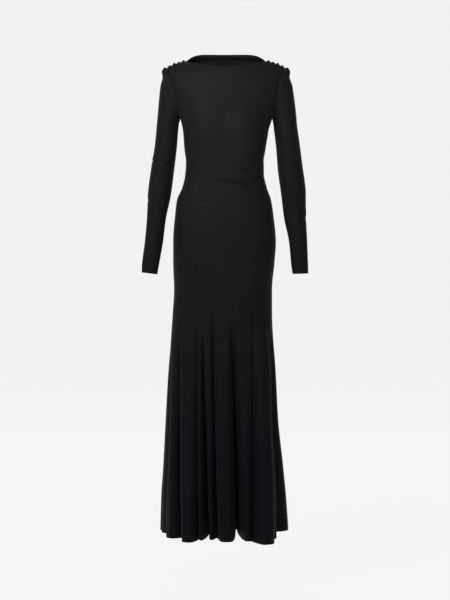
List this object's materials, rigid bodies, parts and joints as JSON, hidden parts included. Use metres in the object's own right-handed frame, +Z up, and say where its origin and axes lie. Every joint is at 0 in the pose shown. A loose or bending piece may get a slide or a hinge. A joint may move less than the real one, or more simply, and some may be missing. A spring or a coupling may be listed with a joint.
{
  "type": "maxi dress",
  "caption": "Fitted long-sleeved maxi dress with a wide neckline, gathered shoulders and a flared, folded skirt, shown hollow as worn.",
  "frame": {"origin": "midway between the neck ends of the two shoulder seams, where the wearer's shoulders hold the dress", "axes": "+Z up along the body, -Y towards the front of the dress, +X towards the wearer's left sleeve"},
  "size_m": [0.515, 0.3195, 1.5071],
  "materials": {
    "jersey": "matte black stretch jersey with a very soft sheen"
  },
  "bodies": {
    "root": {"front": "jersey", "back": "jersey", "side_front_left": "jersey", "side_front_right": "jersey", "side_back_left": "jersey", "side_back_right": "jersey", "sleeve_left": "jersey", "sleeve_right": "jersey"}
  },
  "joints": []
}
